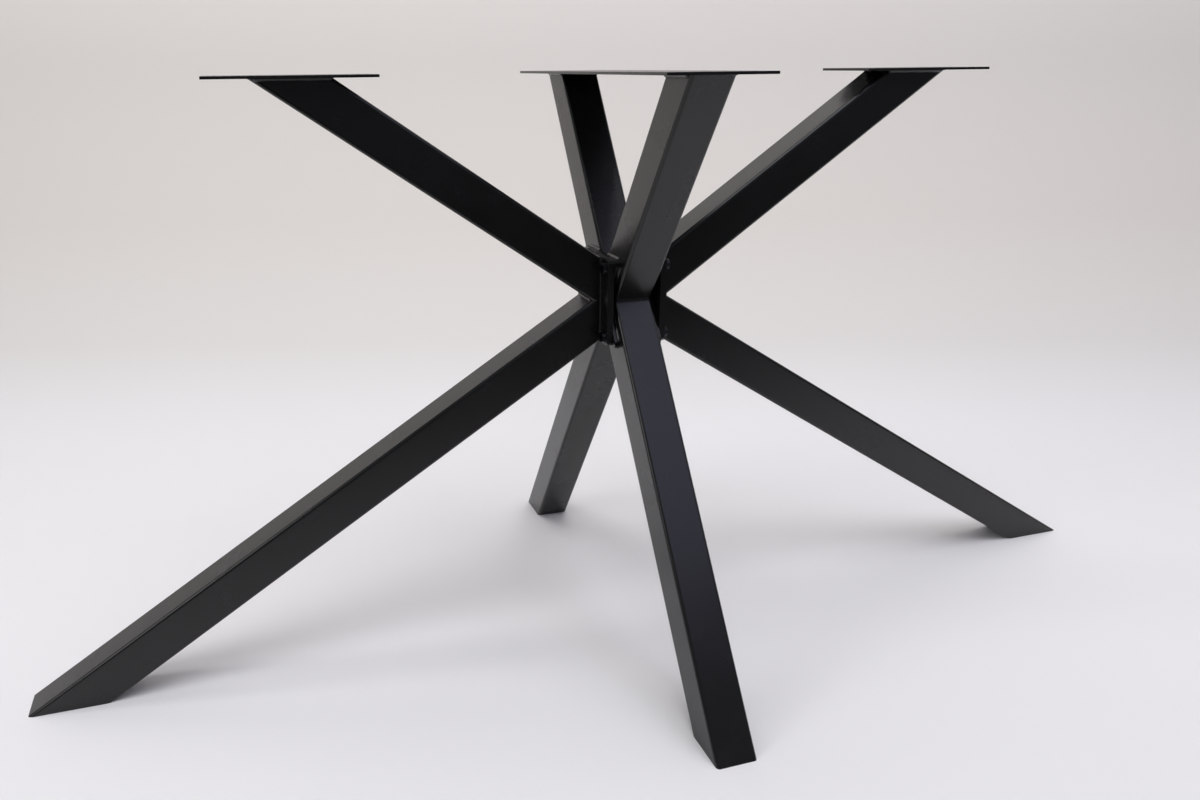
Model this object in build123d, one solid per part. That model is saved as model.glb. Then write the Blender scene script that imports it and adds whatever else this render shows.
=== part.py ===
from build123d import *
import math
import os

os.makedirs("parts", exist_ok=True)

# A flat-pack table base of square tube: four bent legs that meet at a bolted hub.
# Frame: the origin is on the floor under the middle of the hub and +Z is up.
# +X runs out along the right leg of the long pair, +Y along the back leg of the short pair.

# Overall sizes, in millimetres
overall_height = 720.0        # floor to the top of the four mounting plates
tube_side = 50.0              # square tube, outside
tube_wall = 2.5
tube_corner_r = 4.0           # outside corner radius of the tube

# The bends: the outer corner of each leg is a point at this height and distance out
bend_height = 450.0
long_bend_r = 50.0
short_bend_r = 35.0
long_lower_angle = 32.3       # degrees from level
long_upper_angle = 34.8
short_lower_angle = 54.3
short_upper_angle = 54.4

# Mounting plates under the table top
top_plate_t = 3.0
long_plate_x = 180.0          # plate of a long leg, along X
long_plate_y = 100.0
short_plate_x = 120.0         # plate of a short leg, along X
short_plate_y = 100.0
screw_hole_d = 7.0
long_holes_x = 150.0          # spacing of the four screw holes
long_holes_y = 70.0
short_holes_x = 90.0
short_holes_y = 70.0

# Closing plates on the feet, ground flush with the tube
foot_plate_t = 3.0

# The bolted hub: a plate on each side of the short pair, a flange on each long leg
hub_plate_t = 6.0
hub_plate_y = 110.0
hub_plate_z = 110.0
hub_weld_room = 11.0          # from the short pair's outer faces to the notched edges of the hub plate
flange_t = 8.0
flange_y = 96.0
flange_z = 106.0
hub_corner_cut = 3.0          # corners of both plates

# Low socket head screws that hold each flange to its hub plate
bolt_d = 8.0
bolt_end_gap = 2.0            # the screw stops this far short of the tube behind its plate
bolt_head_d = 13.0
bolt_head_h = 5.0
bolt_socket_af = 5.0
bolt_socket_depth = 2.5
bolt_edge_y = 8.0             # from the bolt's middle to the flange's upright edges
bolt_edge_z = 10.0            # and to its top and bottom
bolt_hole_clearance = 0.6     # on the diameter
thread_clearance = 0.2        # on the diameter, in the tapped hub plate

# Sizes that follow
arm_top_z = overall_height - top_plate_t
hub_mid_z = bend_height
hub_face = tube_side / 2
flange_back = hub_face + hub_plate_t
flange_face = flange_back + flange_t
bolt_length = flange_t + hub_plate_t - bolt_end_gap
bolt_hole_d = bolt_d + bolt_hole_clearance
tapped_hole_d = bolt_d + thread_clearance
AZIMUTH = {"right": 0.0, "back": 90.0, "left": 180.0, "front": 270.0}


def is_long(side):
    """The left and right legs are the long pair."""
    return side in ("left", "right")


def bend_of(side):
    """Distance out of the bend, lower angle and upper angle of a side."""
    if is_long(side):
        return long_bend_r, long_lower_angle, long_upper_angle
    return short_bend_r, short_lower_angle, short_upper_angle


def inner_cut(side):
    """Where a leg is cut upright at its inner end."""
    return flange_face if is_long(side) else 0.0


def direction(side, upper):
    """Unit vector along a member, outwards, in the plane of the leg."""
    bend_r, lower, higher = bend_of(side)
    angle = math.radians(higher if upper else -lower)
    return Vector(math.cos(angle), 0, math.sin(angle))


def inward(side, upper):
    """Unit vector from the face at the bend into the tube."""
    along = direction(side, upper)
    if upper:
        return Vector(-along.Z, 0, along.X)
    return Vector(along.Z, 0, -along.X)


def bend_point(side):
    return Vector(bend_of(side)[0], 0, bend_height)


def inner_point(side):
    """Where the two inner faces of a leg would meet, which sets the mitre."""
    base = bend_point(side)
    low_along = direction(side, False)
    low_start = base + inward(side, False) * tube_side
    high_along = direction(side, True)
    high_start = base + inward(side, True) * tube_side
    gap = high_start - low_start
    cross = low_along.X * high_along.Z - low_along.Z * high_along.X
    step = (gap.X * high_along.Z - gap.Z * high_along.X) / cross
    return low_start + low_along * step


def member_profile(side, upper, hollow):
    """Square tube section on a plane across the member, at its bend."""
    middle = bend_point(side) + inward(side, upper) * (tube_side / 2)
    across = Plane(origin=middle, x_dir=(0, 1, 0), z_dir=direction(side, upper))
    section = RectangleRounded(tube_side, tube_side, tube_corner_r)
    if hollow:
        bore = tube_side - 2 * tube_wall
        section = section - Rectangle(bore, bore)
    return across * section


def member(side, upper, hollow=True, low=foot_plate_t):
    """One straight member: mitred at the bend, upright at the hub, level at its end."""
    blank = extrude(member_profile(side, upper, hollow), amount=1200, both=True)
    base = bend_point(side)
    along_mitre = (inner_point(side) - base).normalized()
    across_mitre = Vector(-along_mitre.Z, 0, along_mitre.X)
    if across_mitre.dot(direction(side, upper)) < 0:
        across_mitre = across_mitre * -1
    blank = split(blank, bisect_by=Plane(origin=base, z_dir=across_mitre), keep=Keep.TOP)
    hub_cut = Plane(origin=(inner_cut(side), 0, 0), z_dir=(1, 0, 0))
    blank = split(blank, bisect_by=hub_cut, keep=Keep.TOP)
    if upper:
        end_cut = Plane(origin=(0, 0, arm_top_z), z_dir=(0, 0, -1))
    else:
        end_cut = Plane(origin=(0, 0, low), z_dir=(0, 0, 1))
    return split(blank, bisect_by=end_cut, keep=Keep.TOP)


def foot_plate(side):
    """Closing plate: a slice of the solid leg section that rests on the floor."""
    solid_leg = member(side, False, hollow=False, low=0.0)
    top_cut = Plane(origin=(0, 0, foot_plate_t), z_dir=(0, 0, -1))
    return split(solid_leg, bisect_by=top_cut, keep=Keep.TOP)


def arm_top_r(side):
    """Distance out of the middle of the arm's top end."""
    bend_r, lower, higher = bend_of(side)
    angle = math.radians(higher)
    outer = bend_r + (arm_top_z - bend_height) / math.tan(angle)
    return outer - tube_side / math.sin(angle) / 2


def top_plate(side):
    """Mounting plate with four screw holes, in the row's own directions."""
    if is_long(side):
        size_x, size_y, holes_x, holes_y = long_plate_x, long_plate_y, long_holes_x, long_holes_y
    else:
        size_x, size_y, holes_x, holes_y = short_plate_x, short_plate_y, short_holes_x, short_holes_y
    outline = Rectangle(size_x, size_y)
    outline = outline - GridLocations(holes_x, holes_y, 2, 2) * Circle(screw_hole_d / 2)
    azimuth = math.radians(AZIMUTH[side])
    reach = arm_top_r(side)
    place = Pos(reach * math.cos(azimuth), reach * math.sin(azimuth), arm_top_z)
    return place * extrude(outline, amount=top_plate_t)


def at_bolts(x, outline, length):
    """The outline at all four bolt positions on an upright plane at x, extruded along +X."""
    face = Plane(origin=(x, 0, hub_mid_z), x_dir=(0, 1, 0), z_dir=(1, 0, 0))
    places = GridLocations(flange_y - 2 * bolt_edge_y, flange_z - 2 * bolt_edge_z, 2, 2)
    return Part() + [extrude(face * place * outline, amount=length) for place in places]


def bolt_cutter(hole_d):
    """Holes of one diameter through the flange and the hub plate."""
    start = hub_face - 1
    return at_bolts(start, Circle(hole_d / 2), flange_face + 1 - start)


def upright_plate(x, outline, thickness):
    face = Plane(origin=(x, 0, hub_mid_z), x_dir=(0, 1, 0), z_dir=(1, 0, 0))
    return extrude(face * outline, amount=thickness)


def plate_outline(size_y, size_z):
    """Rectangle with its corners cut off."""
    return chamfer(Rectangle(size_y, size_z).vertices(), hub_corner_cut)


def hub_outline():
    """Plate with cut corners, notched front and back so that it stays inside the bends of the short pair."""
    outline = plate_outline(hub_plate_y, hub_plate_z)
    for angle, rise in ((short_upper_angle, hub_plate_z), (short_lower_angle, -hub_plate_z)):
        slope = math.radians(angle)
        waist = short_bend_r - hub_weld_room / math.sin(slope)
        reach = waist + hub_plate_z / math.tan(slope)
        for way in (-1, 1):
            corners = [(way * waist, 0), (way * reach, rise), (way * (reach + hub_plate_y), rise)]
            corners.append((way * (reach + hub_plate_y), 0))
            outline = outline - Polygon(*corners, align=None)
    return outline


def bolts():
    """Four cap screws on the right side, heads outwards, each with a hexagon socket."""
    heads = at_bolts(flange_face, Circle(bolt_head_d / 2), bolt_head_h)
    shanks = at_bolts(flange_face - bolt_length, Circle(bolt_d / 2), bolt_length)
    hexagon = RegularPolygon(bolt_socket_af / 2, 6, major_radius=False)
    sockets = at_bolts(flange_face + bolt_head_h - bolt_socket_depth, hexagon, bolt_socket_depth)
    return heads + shanks - sockets


def turned(shape, side):
    return shape.rotate(Axis.Z, AZIMUTH[side])


nodes = {}
for side in AZIMUTH:
    nodes[side + "_upper_arm"] = turned(member(side, True), side)
    nodes[side + "_lower_leg"] = turned(member(side, False), side)
    nodes[side + "_top_plate"] = top_plate(side)
    nodes[side + "_foot_plate"] = turned(foot_plate(side), side)

hub_plate = upright_plate(hub_face, hub_outline(), hub_plate_t)
hub_plate = hub_plate - bolt_cutter(tapped_hole_d)
flange = upright_plate(flange_back, plate_outline(flange_y, flange_z), flange_t)
flange = flange - bolt_cutter(bolt_hole_d)
for side in ("right", "left"):
    nodes[side + "_hub_plate"] = turned(hub_plate, side)
    nodes[side + "_flange"] = turned(flange, side)
    nodes[side + "_bolts"] = turned(bolts(), side)

for name, shape in nodes.items():
    solids = shape.solids()
    body = solids[0] if len(solids) == 1 else Compound(children=list(solids))
    body.label = name
    export_step(body, "parts/" + name + ".step")
    size = body.bounding_box()
    print(name, len(solids), [round(v, 1) for v in (*size.min, *size.max)], round(body.volume))
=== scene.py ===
# %% [markdown]
# # A spider table base of welded square tube
# Four bent legs of 50 mm square steel tube meet at a bolted hub. Each leg ends in a
# drilled plate above and a level foot below, and the whole base is powder coated black.
# The CAD model gives the tubes, the drilled plates and the screws in their exact places.
# This script dresses it: it gives the steel its coat, lays the weld beads, joins two of
# the plates with a bare strip, and builds the pale studio.

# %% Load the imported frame
import math
import bpy
import numpy as np
from mathutils import Matrix, Vector


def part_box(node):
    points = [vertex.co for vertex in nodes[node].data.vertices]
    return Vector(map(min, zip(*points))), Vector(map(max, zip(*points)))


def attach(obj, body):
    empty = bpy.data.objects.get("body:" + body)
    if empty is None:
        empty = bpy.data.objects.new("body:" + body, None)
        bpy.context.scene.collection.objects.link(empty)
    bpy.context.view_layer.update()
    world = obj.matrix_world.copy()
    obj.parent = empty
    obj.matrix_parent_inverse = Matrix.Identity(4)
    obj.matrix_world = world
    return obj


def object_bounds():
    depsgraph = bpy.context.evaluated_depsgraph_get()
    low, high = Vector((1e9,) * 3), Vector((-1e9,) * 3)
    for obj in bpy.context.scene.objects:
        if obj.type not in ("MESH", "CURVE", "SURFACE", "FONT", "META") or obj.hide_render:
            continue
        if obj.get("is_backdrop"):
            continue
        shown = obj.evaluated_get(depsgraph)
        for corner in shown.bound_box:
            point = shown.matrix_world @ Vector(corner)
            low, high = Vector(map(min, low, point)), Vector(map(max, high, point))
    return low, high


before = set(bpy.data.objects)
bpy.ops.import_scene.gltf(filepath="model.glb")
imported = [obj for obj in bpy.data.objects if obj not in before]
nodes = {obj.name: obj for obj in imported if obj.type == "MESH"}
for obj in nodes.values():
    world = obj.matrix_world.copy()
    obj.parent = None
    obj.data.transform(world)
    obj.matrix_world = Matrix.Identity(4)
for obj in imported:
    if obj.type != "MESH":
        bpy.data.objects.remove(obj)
cad_lo, cad_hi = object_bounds()
print("parts from the CAD model:", len(nodes))

# %% [markdown]
# ## The camera
# The picture was taken from the front left, a little above the mounting plates, with a
# lens near 28 mm. A camera is found by moving it until the model's edges fall on the
# edges in the picture. It is set down here as a place, a downward tilt, a slight roll
# and the framing's shift, because the picture's middle isn't the lens's middle.

# %% Camera
FRAME_W = 1200.0                      # the picture's width in pixels
FOCAL_PX = 949.9                      # focal length in the same pixels
SENSOR = 36.0                         # millimetres
TURN = 17.24                          # degrees from the object's +Y to the view direction
TILT = 19.30                          # degrees downwards
ROLL = -0.587                         # degrees about the view
CAMERA_PLACE = (-0.4555, -1.1070, 0.7271)
SHIFT_PX = (60.14, -1.93)


def make_camera():
    """Columns of the turn are the camera's right, up and back directions.
    Right is level; up is square to right and to the view; roll turns both about the view."""
    turn, tilt, roll = (math.radians(v) for v in (TURN, TILT, ROLL))
    flat = np.array([math.sin(turn), math.cos(turn), 0.0])
    level = np.array([math.cos(turn), -math.sin(turn), 0.0])
    rise = np.array([0.0, 0.0, 1.0])
    view = math.cos(tilt) * flat - math.sin(tilt) * rise
    upright = math.sin(tilt) * flat + math.cos(tilt) * rise
    right = math.cos(roll) * level + math.sin(roll) * upright
    up = -math.sin(roll) * level + math.cos(roll) * upright
    data = bpy.data.cameras.new("camera")
    data.sensor_width = SENSOR
    data.lens = FOCAL_PX / FRAME_W * SENSOR
    data.shift_x = SHIFT_PX[0] / FRAME_W
    data.shift_y = SHIFT_PX[1] / FRAME_W
    camera = bpy.data.objects.new("camera", data)
    rows = np.column_stack([right, up, -view, CAMERA_PLACE]).tolist()
    camera.matrix_world = Matrix(rows + [[0, 0, 0, 1]])
    bpy.context.scene.collection.objects.link(camera)
    bpy.context.scene.camera = camera
    return camera, flat, level


camera, view_flat, view_level = make_camera()
print("lens", round(camera.data.lens, 2), "mm")

# %% [markdown]
# ## Helpers for materials
# Colours are written as sRGB hex values, as a paint chart gives them, and one function
# turns them into the linear values that the shader works in. One more function adds a
# node, sets it and links it, so that each material reads as a short list.


# %% Material helpers
def linear(hex_colour):
    """sRGB to linear: below 0.04045 divide by 12.92, else ((c + 0.055) / 1.055) to the power 2.4."""
    c = np.array([int(hex_colour[i:i + 2], 16) for i in (1, 3, 5)]) / 255
    c = np.where(c <= 0.04045, c / 12.92, ((c + 0.055) / 1.055) ** 2.4)
    return (*c.tolist(), 1.0)


def add(tree, kind, links=None, values=None, **settings):
    """Adds a node. settings are its own fields, values its sockets, links sockets fed by others."""
    node = tree.nodes.new(kind)
    for key, value in settings.items():
        setattr(node, key, value)
    for key, value in (values or {}).items():
        node.inputs[key].default_value = value
    for key, source in (links or {}).items():
        tree.links.new(source, node.inputs[key])
    return node


def new_material(name):
    """An empty node material with only its output."""
    material = bpy.data.materials.new(name)
    material.use_nodes = True
    tree = material.node_tree
    tree.nodes.clear()
    return material, tree, tree.nodes.new("ShaderNodeOutputMaterial")


# %% [markdown]
# ## Satin black powder coat
# The steel is sprayed with dry black powder and baked. The film flows out into a skin
# with a fine orange-peel: shallow dimples about half a millimetre across. They scatter
# the gloss, so the coat looks satin: almost black face on, and a soft grey where it
# mirrors the pale room at a low angle. The dimples are drawn at 1.6 mm, three times
# their real size, because finer ones wouldn't show. A slow change over about 60 mm
# stands for the uneven thickness of the film.


# %% Powder coat
PEEL = 0.0016                         # metres across one dimple, as drawn
PEEL_DEPTH = 0.0004
PEEL_STRENGTH = 0.12
FILM = 0.06                           # metres over which the film's thickness changes
FILM_RANGE = (0.3, 0.7)               # noise values at which the first and last tones are reached
COAT_BLACKS = ("#0e0e0e", "#131314")
COAT_ROUGHNESS = (0.25, 0.28)


def powder_coat():
    """A plain plastic film: colour and roughness follow the film's noise, the bump the peel's."""
    material, tree, out = new_material("powder_coat_satin_black")
    place = add(tree, "ShaderNodeTexCoord").outputs["Object"]
    peel_look = {"Scale": 1 / PEEL, "Detail": 2.0, "Roughness": 0.5}
    film_look = {"Scale": 1 / FILM, "Detail": 3.0, "Roughness": 0.6}
    peel = add(tree, "ShaderNodeTexNoise", {"Vector": place}, peel_look)
    film = add(tree, "ShaderNodeTexNoise", {"Vector": place}, film_look)
    tone = add(tree, "ShaderNodeValToRGB", {"Fac": film.outputs["Fac"]})
    for stop, position, black in zip(tone.color_ramp.elements, FILM_RANGE, COAT_BLACKS):
        stop.position = position
        stop.color = linear(black)
    spread = {"From Min": FILM_RANGE[0], "From Max": FILM_RANGE[1]}
    spread.update({"To Min": COAT_ROUGHNESS[0], "To Max": COAT_ROUGHNESS[1]})
    gloss = add(tree, "ShaderNodeMapRange", {"Value": film.outputs["Fac"]}, spread)
    depth = {"Strength": PEEL_STRENGTH, "Distance": PEEL_DEPTH}
    dimples = add(tree, "ShaderNodeBump", {"Height": peel.outputs["Fac"]}, depth)
    fed = {"Base Color": tone.outputs["Color"], "Roughness": gloss.outputs["Result"]}
    fed["Normal"] = dimples.outputs["Normal"]
    shader = add(tree, "ShaderNodeBsdfPrincipled", fed, {"IOR": 1.5})
    tree.links.new(shader.outputs["BSDF"], out.inputs["Surface"])
    return material


coat = powder_coat()
print("material", coat.name)

# %% [markdown]
# ## Black oxide screws
# The socket screws of the hub are steel with a black oxide skin. It is thin, so it
# keeps the shine of the metal below: the shader is a dark metal with a medium gloss.
# The skin takes unevenly, in clouds a few millimetres across.

# %% Screw steel
SCREW_NODES = ("left_bolts", "right_bolts")
OXIDE_CLOUD = 0.004                   # metres across one cloud
OXIDE_GREYS = ("#2b2b2d", "#38383a")
OXIDE_ROUGHNESS = (0.28, 0.42)


def black_oxide():
    """A dark metal: colour and roughness follow one noise."""
    material, tree, out = new_material("screw_black_oxide")
    place = add(tree, "ShaderNodeTexCoord").outputs["Object"]
    cloud_look = {"Scale": 1 / OXIDE_CLOUD, "Detail": 3.0}
    cloud = add(tree, "ShaderNodeTexNoise", {"Vector": place}, cloud_look)
    tone = add(tree, "ShaderNodeValToRGB", {"Fac": cloud.outputs["Fac"]})
    for stop, grey in zip(tone.color_ramp.elements, OXIDE_GREYS):
        stop.color = linear(grey)
    spread = {"To Min": OXIDE_ROUGHNESS[0], "To Max": OXIDE_ROUGHNESS[1]}
    gloss = add(tree, "ShaderNodeMapRange", {"Value": cloud.outputs["Fac"]}, spread)
    fed = {"Base Color": tone.outputs["Color"], "Roughness": gloss.outputs["Result"]}
    shader = add(tree, "ShaderNodeBsdfPrincipled", fed, {"Metallic": 1.0})
    tree.links.new(shader.outputs["BSDF"], out.inputs["Surface"])
    return material


oxide = black_oxide()
for name, node in nodes.items():
    finish = oxide if name in SCREW_NODES else coat
    if not node.material_slots:
        node.data.materials.append(finish)
    for slot in node.material_slots:
        slot.material = finish
print("coated:", len(nodes) - len(SCREW_NODES), "screw sets:", len(SCREW_NODES))

# %% [markdown]
# ## Measurements of the welded joints
# The beads lie in the corners between tubes and plates. Those corners follow from the
# same sizes that the CAD model is built from, so they are worked out here from the
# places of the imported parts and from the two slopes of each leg.

# %% Joint measurements
TUBE = 0.050
HALF = TUBE / 2
BEND_Z = 0.450
PAIRS = {
    "long": {"bend": 0.050, "lower": math.radians(32.3), "upper": math.radians(34.8)},
    "short": {"bend": 0.035, "lower": math.radians(54.3), "upper": math.radians(54.4)},
}
SIDES = {
    "right": ("long", (1, 0)),
    "back": ("short", (0, 1)),
    "left": ("long", (-1, 0)),
    "front": ("short", (0, -1)),
}
UP = np.array([0.0, 0.0, 1.0])
ARM_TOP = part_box("right_top_plate")[0][2]
FLANGE_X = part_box("right_flange")[1][0]
print("arm tops at", round(ARM_TOP, 4), "flange face at", round(FLANGE_X, 4))

# %% [markdown]
# ## Faces and directions of the tubes
# Seen from the side, a leg is two bands a tube's width across that meet in a notch, and
# the notch is the bend. All places that the beads need follow from the notch and two
# slopes: how far out a face is at some height, and which way a tube runs.


# %% Faces and directions
def slope_of(pair, upper):
    """Angle from level of a pair's upper or lower tubes."""
    return PAIRS[pair]["upper" if upper else "lower"]


def outer_r(pair, z):
    """Distance out, at height z, of the face that starts at the bend: the bend's own distance, and
    |z - bend height| / tan(slope) further."""
    return PAIRS[pair]["bend"] + abs(z - BEND_Z) / math.tan(slope_of(pair, z >= BEND_Z))


def inner_r(pair, z):
    """The opposite face is a tube's width away, which is width / sin(slope) along the level."""
    return outer_r(pair, z) - TUBE / math.sin(slope_of(pair, z >= BEND_Z))


def out_and_across(side):
    """The leg's level direction outwards, and the level direction across it."""
    x, y = SIDES[side][1]
    return np.array([x, y, 0.0]), np.array([-y, x, 0.0])


def along_tube(pair, out, upper):
    """Direction of a tube away from its bend: cos(slope) * out, plus sin(slope) upwards or downwards."""
    slope = slope_of(pair, upper)
    return math.cos(slope) * out + (1 if upper else -1) * math.sin(slope) * UP


# %% [markdown]
# ## Weld beads
# A welder runs a bead of molten steel into each corner. It cools as a row of small
# overlapping ripples, and the coat follows them. Each bead is a surface of two
# parameters: one runs along the seam, and one turns a quarter circle from one face to
# the other. The size of that quarter circle swells and shrinks with the ripples and
# tapers off at both ends.

# %% Bead surface
RIPPLE = 0.0032                       # metres from one ripple to the next
RIPPLE_POWER = 0.7                    # below 1, so the valleys are sharp and the crests round
RIPPLE_DEPTH = 0.06                   # as a share of the bead's size, as the next three are
VALLEY = 0.96
WANDER_DEPTH = 0.03
TIP = 0.02
WANDER = 0.021                        # metres over which the hand's unsteadiness comes and goes
ROUND_SHARE = 0.3                     # of a quarter circle in the section
FLAT_SHARE = 0.7                      # of a straight line in the section
HEEL = 0.15                           # how far behind the corner the section closes
ROWS_PER_RIPPLE = 5
LEAST_ROWS = 12
ARC_STEPS = 7


def bead_points(start, end, side_a, side_b, size, phase):
    """Point = start + s * along + r(s) * crown(q) * (cos(q) * side_a + sin(q) * side_b), q from 0 to 90
    degrees. crown(q) = 0.3 + 0.7 / (cos(q) + sin(q)) lies between a quarter circle and the straight
    line of a flat fillet. r(s) = size * end taper * (0.96 + 0.06 * ripple + wander), where ripple is
    |sin| raised to 0.7. A last column a little behind the corner closes the section."""
    start, end, side_a, side_b = (np.asarray(v, float) for v in (start, end, side_a, side_b))
    length = np.linalg.norm(end - start)
    s = np.linspace(0, length, max(LEAST_ROWS, int(length / (RIPPLE / ROWS_PER_RIPPLE))))
    ripple = np.abs(np.sin(np.pi * s / RIPPLE + phase)) ** RIPPLE_POWER
    wander = WANDER_DEPTH * np.sin(2 * np.pi * s / WANDER + 2 * phase)
    past = (np.abs(s - length / 2) - (length / 2 - size)).clip(0)
    taper = np.sqrt(np.clip(1 - (past / size) ** 2, 0, 1)) + TIP
    r = size * taper * (VALLEY + RIPPLE_DEPTH * ripple + wander)
    q = np.linspace(0, np.pi / 2, ARC_STEPS)
    crown = ROUND_SHARE + FLAT_SHARE / (np.cos(q) + np.sin(q))
    turn = (crown * np.cos(q))[:, None] * side_a + (crown * np.sin(q))[:, None] * side_b
    line = start + s[:, None] / length * (end - start)
    arc = line[:, None, :] + r[:, None, None] * turn[None, :, :]
    heel = line - HEEL * r[:, None] * (side_a + side_b)
    return np.concatenate([arc, heel[:, None, :]], axis=1)


# %% [markdown]
# ## From a grid of points to a piece
# A bead's grid is closed round its section, so its last column joins its first, and one
# face covers each end. All the beads of a joint go into one mesh, which rides on the
# base and takes the coat's slot. The middle plate further down is made the same way.


# %% Pieces from grids
def tube_faces(rows, columns, first):
    """Quads of a grid that is closed round its columns, and one face across each end."""
    i, j = np.meshgrid(np.arange(rows - 1), np.arange(columns), indexing="ij")
    k = (j + 1) % columns
    below, above = i * columns, (i + 1) * columns
    quads = np.stack([below + j, below + k, above + k, above + j], -1).reshape(-1, 4) + first
    start_ring = np.arange(columns)[::-1] + first
    end_ring = np.arange(columns) + (rows - 1) * columns + first
    return quads.tolist() + [start_ring.tolist(), end_ring.tolist()]


def coated_piece(name, points, faces, smooth):
    """A mesh in its place on the root body, with the coat in its material slot."""
    mesh = bpy.data.meshes.new(name)
    mesh.from_pydata(points, [], faces)
    mesh.polygons.foreach_set("use_smooth", np.full(len(mesh.polygons), smooth))
    mesh.update()
    piece = bpy.data.objects.new(name, mesh)
    bpy.context.scene.collection.objects.link(piece)
    mesh.materials.append(coat)
    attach(piece, "root")
    return piece


PHASE_STEP = 0.7                      # radians, so that the ripples of one piece's beads differ


def weld_piece(name, seams):
    """One mesh from several beads. Each seam is start, end, the two directions of its faces and its
    size. The directions are put in the order that turns the bead's surface outwards."""
    points, faces, first = [], [], 0
    for number, (start, end, side_a, side_b, size) in enumerate(seams):
        along = np.asarray(end, float) - np.asarray(start, float)
        if np.dot(np.cross(side_a, side_b), along) < 0:
            side_a, side_b = side_b, side_a
        grid = bead_points(start, end, side_a, side_b, size, PHASE_STEP * number)
        rows, columns = grid.shape[:2]
        points.append(grid.reshape(-1, 3))
        faces += tube_faces(rows, columns, first)
        first += rows * columns
    return coated_piece(name, np.concatenate(points), faces, True)


# %% [markdown]
# ## Beads under the mounting plates
# Each arm is cut level and welded all round to its plate. The four seams run along the
# cut: two beside the arm and two across it, where the arm's slope makes the corner
# narrow on the side of the hub and wide on the outer side.

# %% Plate beads
PLATE_BEAD = 0.0034
ACROSS_BEAD = 0.0012                  # the seams across the arm are ground down
SIDE_INSET = 0.0055                   # the side beads stop short of the arm's outer face


def plate_seams(side):
    """Two seams beside the arm's cut end and two across it, all just under the plate."""
    pair = SIDES[side][0]
    out, across = out_and_across(side)
    near, far = inner_r(pair, ARM_TOP), outer_r(pair, ARM_TOP)
    top = UP * ARM_TOP
    seams = []
    for sign in (-1, 1):
        edge = sign * across * HALF
        start = top + near * out + edge
        end = top + (far - SIDE_INSET) * out + edge
        seams.append((start, end, sign * across, -UP, PLATE_BEAD))
    down = -along_tube(pair, out, True)
    for reach, way in ((near, -out), (far, out)):
        middle = top + reach * out
        seams.append((middle - across * HALF, middle + across * HALF, way, down, ACROSS_BEAD))
    return seams


made = [weld_piece(side + "_plate_weld", plate_seams(side)) for side in SIDES]
print("plate welds:", [len(piece.data.polygons) for piece in made])

# %% [markdown]
# ## The plate across the middle
# The mounting plates of the front and back arms are two ends of one long strip of
# 3 mm steel. The CAD model holds the two drilled ends, so the bare stretch between
# them is made here. It could be a stretched box, but then its edges would be knife
# sharp: a section with eased edges, carried from end to end, catches the light.

# %% Middle plate
EASE = 0.0003                         # radius of the strip's edges
EASE_STEPS = 4
STRIP_STEPS = 9


def eased_section(low, high):
    """Rectangle in X and Z. Each corner is a quarter circle: middle + EASE * (cos q, sin q)."""
    low, high = np.asarray(low) + EASE, np.asarray(high) - EASE
    middles = ((high[0], high[1]), (low[0], high[1]), (low[0], low[1]), (high[0], low[1]))
    corners = []
    for number, middle in enumerate(middles):
        q = np.linspace(0, np.pi / 2, EASE_STEPS) + number * np.pi / 2
        corners.append(np.array(middle) + EASE * np.stack([np.cos(q), np.sin(q)], 1))
    return np.concatenate(corners)


def carried_strip(name, section, start, end):
    """Point(i, j) = section j at step i, where step i runs from start to end along Y in even lengths.
    The section turns from X to Z, so the faces look outwards when the run goes towards -Y."""
    x, z = section.T
    steps = np.linspace(start, end, STRIP_STEPS)
    grid = np.stack([np.stack([x, np.full(len(x), y), z], 1) for y in steps])
    faces = tube_faces(*grid.shape[:2], 0)
    return coated_piece(name, grid.reshape(-1, 3), faces, False)


back_lo, back_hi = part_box("back_top_plate")
front_hi_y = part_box("front_top_plate")[1][1]
strip = eased_section((back_lo[0], back_lo[2]), (back_hi[0], back_hi[2]))
middle_plate = carried_strip("middle_plate", strip, back_lo[1], front_hi_y)
spans = round(back_lo[1] - front_hi_y, 4)
print("middle plate spans", spans, "m in", len(middle_plate.data.polygons), "faces")

# %% [markdown]
# ## Beads in the bends
# At each bend the two mitred tubes are welded. The seams on the flat faces are ground
# flush before coating, but the bead in the sharp inside of the bend can't be reached
# and stays. It runs across the tube in the notch.

# %% Bend beads
BEND_BEAD = 0.0028
BEND_INSET = 0.002                    # the bead stops short of the tube's rounded edges


def bend_seam(side):
    """One seam across the leg in the notch of its bend, where its two tubes meet."""
    pair = SIDES[side][0]
    out, across = out_and_across(side)
    corner = out * PAIRS[pair]["bend"] + UP * BEND_Z
    reach = across * (HALF - BEND_INSET)
    below, above = along_tube(pair, out, False), along_tube(pair, out, True)
    return corner - reach, corner + reach, below, above, BEND_BEAD


made = [weld_piece(side + "_bend_weld", [bend_seam(side)]) for side in SIDES]
print("bend welds:", len(made))

# %% [markdown]
# ## Beads at the hub
# The long legs are welded to their flanges all round the upright cut. The hub plates
# are welded to the side walls of the short pair along their edges, and the front and
# back legs to each other in the notches above and below.

# %% Flange beads
FLANGE_BEAD = 0.0017


def inner_face_z(pair, r, upper):
    """Height at distance r of the face opposite the bend: the outer face's height there, which is
    (r - bend) * tan(slope) from the bend, and width / cos(slope) further."""
    slope = slope_of(pair, upper)
    sign = 1 if upper else -1
    outer_z = BEND_Z + sign * (r - PAIRS[pair]["bend"]) * math.tan(slope)
    return outer_z + sign * TUBE / math.cos(slope)


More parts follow.
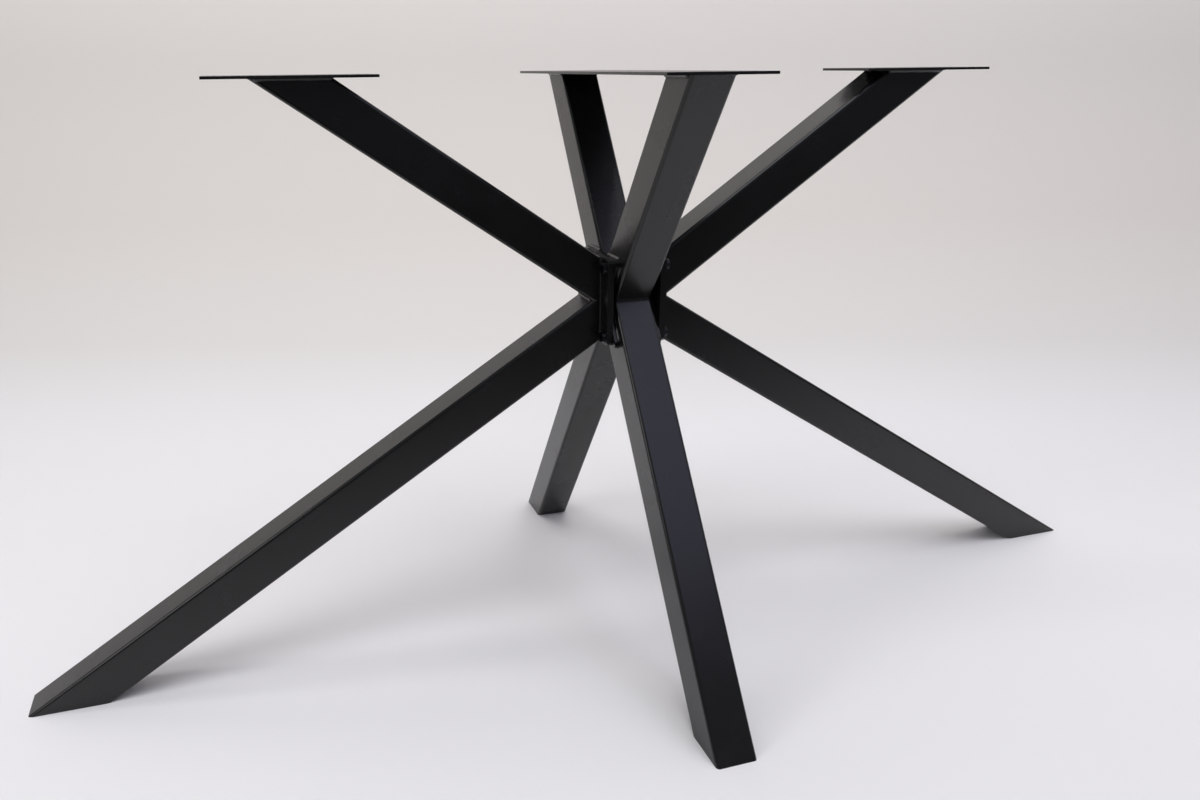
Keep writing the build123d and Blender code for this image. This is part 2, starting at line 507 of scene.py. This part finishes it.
def flange_seams(side):
    """Two upright seams beside the cut end of the leg, one above it and one below it."""
    out, across = out_and_across(side)
    face = out * FLANGE_X
    top = face + UP * inner_face_z("long", FLANGE_X, True)
    low = face + UP * inner_face_z("long", FLANGE_X, False)
    seams = []
    for sign in (-1, 1):
        edge = sign * across * HALF
        seams.append((low + edge, top + edge, sign * across, out, FLANGE_BEAD))
    for end, level, upper in ((top, UP, True), (low, -UP, False)):
        slant = along_tube("long", out, upper)
        seams.append((end - across * HALF, end + across * HALF, level, slant, FLANGE_BEAD))
    return seams


# %% Hub plate beads
HUB_BEAD = 0.0024
PLATE_EDGE = 0.055                    # half the hub plate's width and height
PLATE_CORNER = 0.004                  # the beads stop this far from the plate's corners
NOTCH_ROOM = 0.011                    # from the short pair's outer faces to the notched edges


def hub_seams(side):
    """Round the hub plate, on the short pair's side walls: one seam along each slanted edge of its
    notches, and four along its top and bottom edges from the tube to the corners."""
    out = out_and_across(side)[0]
    wall = out * HALF + UP * BEND_Z
    seams = []
    for turn in (-1, 1):
        leg_way = np.array([0.0, turn, 0.0])
        for upper, level in ((True, UP), (False, -UP)):
            slope = slope_of("short", upper)
            away = math.sin(slope) * leg_way - math.cos(slope) * level
            waist = PAIRS["short"]["bend"] - NOTCH_ROOM / math.sin(slope)
            run = (PLATE_EDGE - waist) / math.cos(slope)
            tip = wall + leg_way * waist
            slant_end = tip + run * along_tube("short", leg_way, upper)
            seams.append((tip, slant_end, away, out, HUB_BEAD))
            inner = max(inner_r("short", BEND_Z + PLATE_EDGE * level[2]), 0.0)
            edge = wall + level * PLATE_EDGE
            corner = edge + leg_way * (PLATE_EDGE - PLATE_CORNER)
            seams.append((edge + leg_way * inner, corner, level, out, HUB_BEAD))
    return seams


# %% Centre beads
def notch_seam(upper):
    """One seam across the tubes where the front and back legs meet, above or below the hub."""
    middle = UP * inner_face_z("short", 0.0, upper)
    across = np.array([HALF, 0.0, 0.0])
    front, back = (along_tube("short", np.array([0.0, turn, 0.0]), upper) for turn in (-1, 1))
    return middle - across, middle + across, front, back, BEND_BEAD


made = []
for side in ("right", "left"):
    made.append(weld_piece(side + "_flange_weld", flange_seams(side)))
    made.append(weld_piece(side + "_hub_weld", hub_seams(side)))
made.append(weld_piece("centre_notch_weld", [notch_seam(True), notch_seam(False)]))
print("hub welds:", len(made))

# %% [markdown]
# ## The studio
# The base stands on a pale paper sweep: a floor that curves up into a wall behind it.
# The sweep is a profile of straight, quarter circle and straight, carried sideways.
# Its floor is a cool white and its wall a warm light grey. From behind, the camera
# looks through it, so that the base can be seen from every side.

# %% Sweep
SWEEP_WIDTH = 11.0
FLOOR_FRONT = -6.0                    # metres along the view from the object's middle
WALL_BACK = 1.35
COVE = 0.75                           # radius between floor and wall
WALL_TOP = 4.0
FLOOR_ROWS, COVE_ROWS, WALL_ROWS = 12, 33, 8
SWEEP_COLUMNS = 24


def sweep_points():
    """Profile by length: level to the cove, a quarter circle of radius COVE, then upright.
    Each point is carried across."""
    cove_start = WALL_BACK - COVE
    floor = np.array([[t, 0.0] for t in np.linspace(FLOOR_FRONT, cove_start, FLOOR_ROWS)])
    angle = np.linspace(0, np.pi / 2, COVE_ROWS)[1:]
    cove = np.stack([cove_start + COVE * np.sin(angle), COVE - COVE * np.cos(angle)], 1)
    wall = np.array([[WALL_BACK, t] for t in np.linspace(COVE, WALL_TOP, WALL_ROWS)[1:]])
    profile = np.concatenate([floor, cove, wall])
    across = np.linspace(-SWEEP_WIDTH / 2, SWEEP_WIDTH / 2, SWEEP_COLUMNS)
    depth = profile[:, 0][:, None, None] * view_flat
    height = profile[:, 1][:, None, None] * UP
    return depth + height + across[None, :, None] * view_level


def grid_faces(rows, columns):
    """Quads of an open grid, wound so that their normals face the object."""
    i, j = np.meshgrid(np.arange(rows - 1), np.arange(columns - 1), indexing="ij")
    a = i * columns + j
    return np.stack([a, a + 1, a + columns + 1, a + columns], -1).reshape(-1, 4).tolist()


# %% [markdown]
# ## Studio paper
# Matt paper is a plain diffuse surface. Its colour goes by height: cool white on the floor, warm grey
# low on the wall, and paler above, where the paleness is painted light on the upper wall. The floor in
# front of the set is dark to all but the camera, as the unlit room is, because the steel mirrors it.

# %% Paper
FLOOR_WHITE = "#e6e6e9"
WALL_TINTS = ((0.12, "#dddbda"), (0.4, "#dfdbd7"))   # place in the blend, colour
# painted light: the upper wall is painted paler than the paper, for the light that falls on it
UPPER_WALL_PAINTED_LIGHT = "#eeeae6"
BLEND_TOP = 0.9                       # metres up, where the blend ends
UNLIT = "#303030"
UNLIT_TO = -1.1                       # metres along the view: the floor is dark up to here
LIT_FROM = -0.25                      # and has its full colour from here


def paper():
    """Two mixes: the dark and the pale floor by distance or camera, then paper and clear by side."""
    material, tree, out = new_material("studio_paper")
    place = add(tree, "ShaderNodeTexCoord").outputs["Object"]
    height = add(tree, "ShaderNodeSeparateXYZ", {"Vector": place}).outputs["Z"]
    rise = add(tree, "ShaderNodeMapRange", {"Value": height}, {"From Min": 0.0, "From Max": BLEND_TOP})
    tint = add(tree, "ShaderNodeValToRGB", {"Fac": rise.outputs["Result"]})
    tint.color_ramp.elements[0].color = linear(FLOOR_WHITE)
    # the top of the blend is painted light on the upper wall
    tint.color_ramp.elements[1].color = linear(UPPER_WALL_PAINTED_LIGHT)
    for position, colour in WALL_TINTS:
        tint.color_ramp.elements.new(position).color = linear(colour)
    depth = add(tree, "ShaderNodeVectorMath", {0: place}, {1: view_flat}, operation="DOT_PRODUCT")
    reach = {"From Min": UNLIT_TO, "From Max": LIT_FROM}
    front = add(tree, "ShaderNodeMapRange", {"Value": depth.outputs["Value"]}, reach)
    camera_ray = add(tree, "ShaderNodeLightPath").outputs["Is Camera Ray"]
    lit = {0: front.outputs["Result"], 1: camera_ray}
    seen = add(tree, "ShaderNodeMath", lit, operation="MAXIMUM")
    mix = {"Factor": seen.outputs["Value"], "B": tint.outputs["Color"]}
    shade = add(tree, "ShaderNodeMix", mix, {"A": linear(UNLIT)}, data_type="RGBA")
    matt = add(tree, "ShaderNodeBsdfDiffuse", {"Color": shade.outputs["Result"]})
    clear = add(tree, "ShaderNodeBsdfTransparent")
    behind = {0: add(tree, "ShaderNodeNewGeometry").outputs["Backfacing"], 1: camera_ray}
    hide = add(tree, "ShaderNodeMath", behind, operation="MULTIPLY")
    sides = {0: hide.outputs["Value"], 1: matt.outputs["BSDF"], 2: clear.outputs["BSDF"]}
    both = add(tree, "ShaderNodeMixShader", sides)
    tree.links.new(both.outputs["Shader"], out.inputs["Surface"])
    return material


grid = sweep_points()
mesh = bpy.data.meshes.new("paper_sweep")
mesh.from_pydata(grid.reshape(-1, 3), [], grid_faces(*grid.shape[:2]))
mesh.polygons.foreach_set("use_smooth", np.ones(len(mesh.polygons), bool))
mesh.materials.append(paper())
sweep = bpy.data.objects.new("paper_sweep", mesh)
bpy.context.scene.collection.objects.link(sweep)
sweep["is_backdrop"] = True
print("sweep faces:", len(mesh.polygons), "floor normal z:", round(mesh.polygons[0].normal.z, 2))

# %% [markdown]
# ## Light
# A soft box hangs over the set, a little in front of the base, so the shadows fall
# softly back under the legs. A broad warm ceiling fills them, and a strip washes the
# wall. A cool window in front and a small panel on each side are there for the coat to
# mirror: they draw the rounded edges of the tubes as thin light lines. The rest of the
# room is unlit, which is why the faces turned to the camera stay almost black.


# %% Lamps
def soft_box(name, place, target, size, watts, tint):
    """A rectangular lamp at place, turned so that its face looks at target."""
    data = bpy.data.lights.new(name, "AREA")
    data.shape = "RECTANGLE"
    data.size, data.size_y = size
    data.energy = watts
    data.color = linear(tint)[:3]
    lamp = bpy.data.objects.new(name, data)
    lamp.location = place
    way = np.asarray(target, float) - np.asarray(place, float)
    lamp.rotation_mode = "QUATERNION"
    lamp.rotation_quaternion = Vector(way).to_track_quat("-Z", "Y")
    bpy.context.scene.collection.objects.link(lamp)
    return lamp


soft_box("key_box", (0.0, -0.95, 3.1), (0, 0.05, 0.2), size=(1.8, 1.4), watts=29, tint="#f8fbff")
ceiling_middle = view_flat * -1.7
ceiling = soft_box(
    "ceiling_box", ceiling_middle + UP * 3.6, ceiling_middle, size=(9.0, 6.0), watts=95, tint="#fff8f2"
)
wash_place = view_flat * 0.35 - view_level * 0.5 + UP * 3.0
wash_target = view_flat * WALL_BACK - view_level * 0.5 + UP * 1.8
wash = soft_box("wall_box", wash_place, wash_target, size=(3.8, 0.8), watts=26, tint="#fffdfa")
for lamp in (ceiling, wash):
    lamp.visible_glossy = False
soft_box("window", (1.0, -1.7, 2.1), (0, -0.2, 0.3), size=(1.2, 1.3), watts=5, tint="#d9daff")
soft_box("left_panel", (-2.5, -0.55, 1.6), (0, 0, 0.5), size=(0.9, 1.1), watts=12, tint="#ffffff")
soft_box("right_panel", (2.5, -0.3, 1.75), (0, 0, 0.45), size=(0.9, 1.1), watts=2.5, tint="#eef0ff")

# %% [markdown]
# ## The room
# The world is a pale wall to the camera, so that no edge of the sweep shows. To all
# else it is a dim, cool grey, which only lifts the deepest shadows a little.

# %% World
world = bpy.data.worlds.new("room")
bpy.context.scene.world = world
world.use_nodes = True
tree = world.node_tree
tree.nodes.clear()
path = add(tree, "ShaderNodeLightPath")
pale = add(tree, "ShaderNodeBackground", None, {"Color": linear("#dedad5"), "Strength": 1.0})
dim = add(tree, "ShaderNodeBackground", None, {"Color": linear("#c9ccd4"), "Strength": 0.25})
rooms = {0: path.outputs["Is Camera Ray"], 1: dim.outputs["Background"], 2: pale.outputs["Background"]}
mixed = add(tree, "ShaderNodeMixShader", rooms)
add(tree, "ShaderNodeOutputWorld", {"Surface": mixed.outputs["Shader"]})
bpy.context.scene.view_settings.view_transform = "Standard"
print("world:", world.name)

# %% Finish
lo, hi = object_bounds()
for label, low, high in (("visual", lo, hi), ("CAD", cad_lo, cad_hi)):
    print(label, "size", [round(b - a, 4) for a, b in zip(low, high)])
